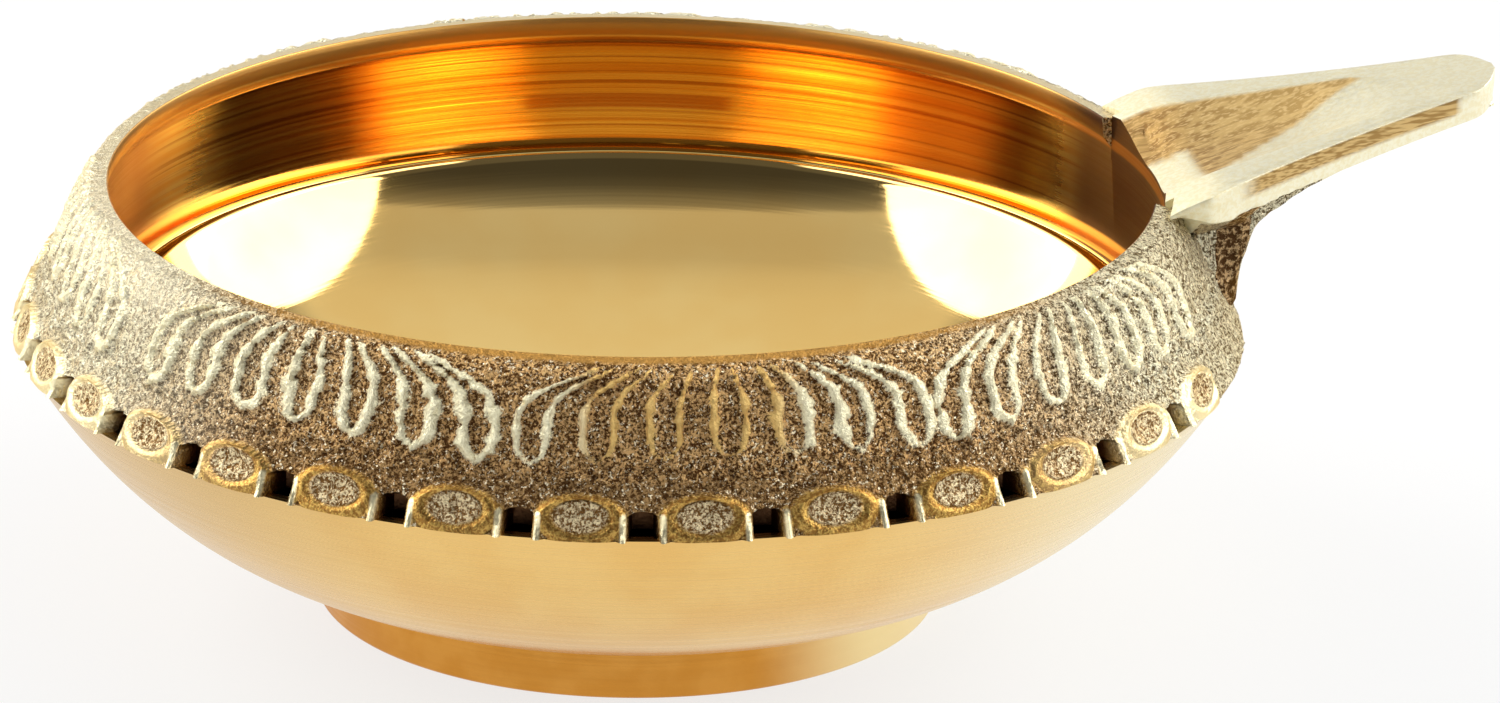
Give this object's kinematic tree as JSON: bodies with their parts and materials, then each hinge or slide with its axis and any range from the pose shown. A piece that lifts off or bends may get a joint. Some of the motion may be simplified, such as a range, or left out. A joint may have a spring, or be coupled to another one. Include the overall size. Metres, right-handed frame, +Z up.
{
  "type": "oil lamp",
  "caption": "Shallow oil lamp: a turned dish on a ring foot, a cast collar of petal fans above a beaded edge, and a pointed trough spout that carries a cotton wick.",
  "frame": {"origin": "on the surface the lamp stands on, under the middle of its overall length and width", "axes": "+X along the spout, from the bowl to the wick's tip; +Y across it; +Z up"},
  "size_m": [0.1014, 0.0846, 0.0352],
  "materials": {
    "foot_brass": "satin, turned",
    "bowl_brass": "polished, turned",
    "cast_brass": "sand cast relief, bright on the ridges, dark in the pits",
    "spout_brass": "filed along its length"
  },
  "bodies": {
    "root": {"foot_ring": "foot_brass", "bowl": "bowl_brass", "ornament_collar": "cast_brass", "spout": "spout_brass"}
  },
  "joints": []
}
